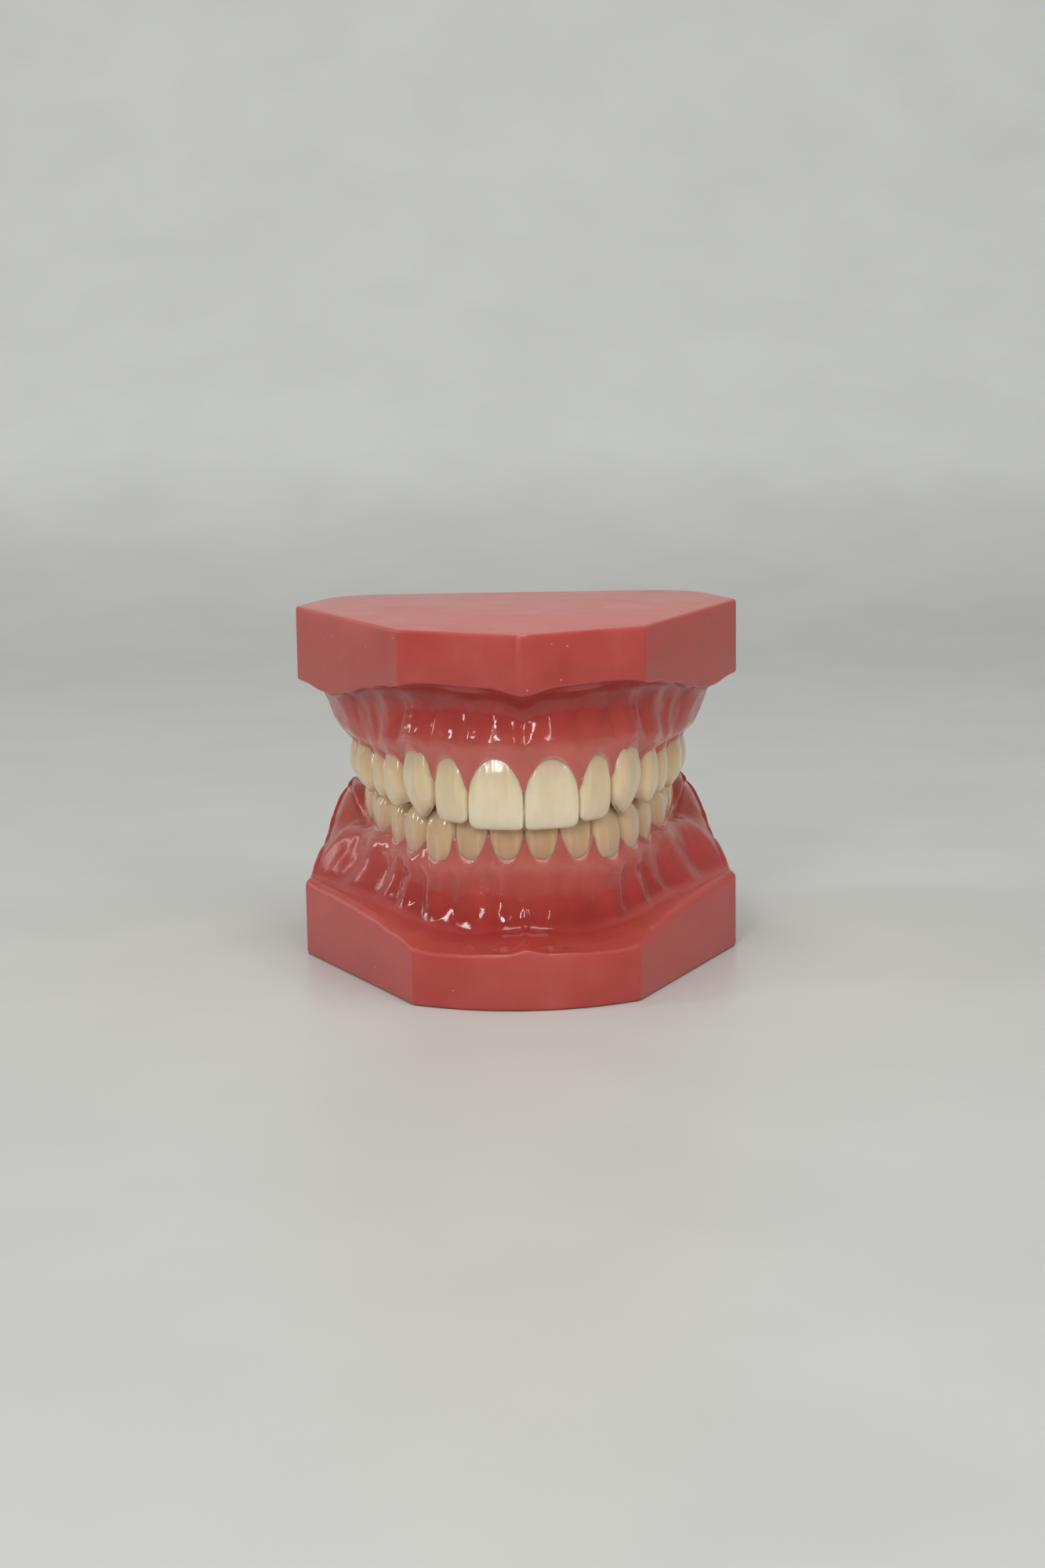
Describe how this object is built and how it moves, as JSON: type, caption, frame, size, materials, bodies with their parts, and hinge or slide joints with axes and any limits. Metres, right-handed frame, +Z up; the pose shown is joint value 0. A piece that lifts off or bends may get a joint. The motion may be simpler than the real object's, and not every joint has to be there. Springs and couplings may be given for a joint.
{
  "type": "typodont model",
  "caption": "Dental study model: upper and lower pink casts with trimmed angular bases, resting in closed bite, ivory teeth set in sockets along each gum.",
  "frame": {"origin": "centre of the closed model's bounding box, on the table under the lower base", "axes": "+X to the viewer's right when facing the front teeth, -Y toward the front teeth, +Z up"},
  "size_m": [0.0752, 0.0672, 0.0592],
  "materials": {
    "ground_base": "ground satin",
    "gum": "gloss",
    "tooth": "polished"
  },
  "bodies": {
    "lower_jaw": {"lower_base": "ground_base", "lower_gum": "gum", "lower_left_central_incisor": "tooth", "lower_left_lateral_incisor": "tooth", "lower_left_canine": "tooth", "lower_left_first_premolar": "tooth", "lower_left_second_premolar": "tooth", "lower_left_first_molar": "tooth", "lower_left_second_molar": "tooth", "lower_right_central_incisor": "tooth", "lower_right_lateral_incisor": "tooth", "lower_right_canine": "tooth", "lower_right_first_premolar": "tooth", "lower_right_second_premolar": "tooth", "lower_right_first_molar": "tooth", "lower_right_second_molar": "tooth"},
    "upper_jaw": {"upper_base": "ground_base", "upper_gum": "gum", "upper_left_central_incisor": "tooth", "upper_left_lateral_incisor": "tooth", "upper_left_canine": "tooth", "upper_left_first_premolar": "tooth", "upper_left_second_premolar": "tooth", "upper_left_first_molar": "tooth", "upper_left_second_molar": "tooth", "upper_right_central_incisor": "tooth", "upper_right_lateral_incisor": "tooth", "upper_right_canine": "tooth", "upper_right_first_premolar": "tooth", "upper_right_second_premolar": "tooth", "upper_right_first_molar": "tooth", "upper_right_second_molar": "tooth"}
  },
  "joints": [
    {"name": "upper_lift", "type": "slide", "parent": "lower_jaw", "child": "upper_jaw", "axis": [0, 0, 1], "range_m": [0, 0.06]}
  ]
}
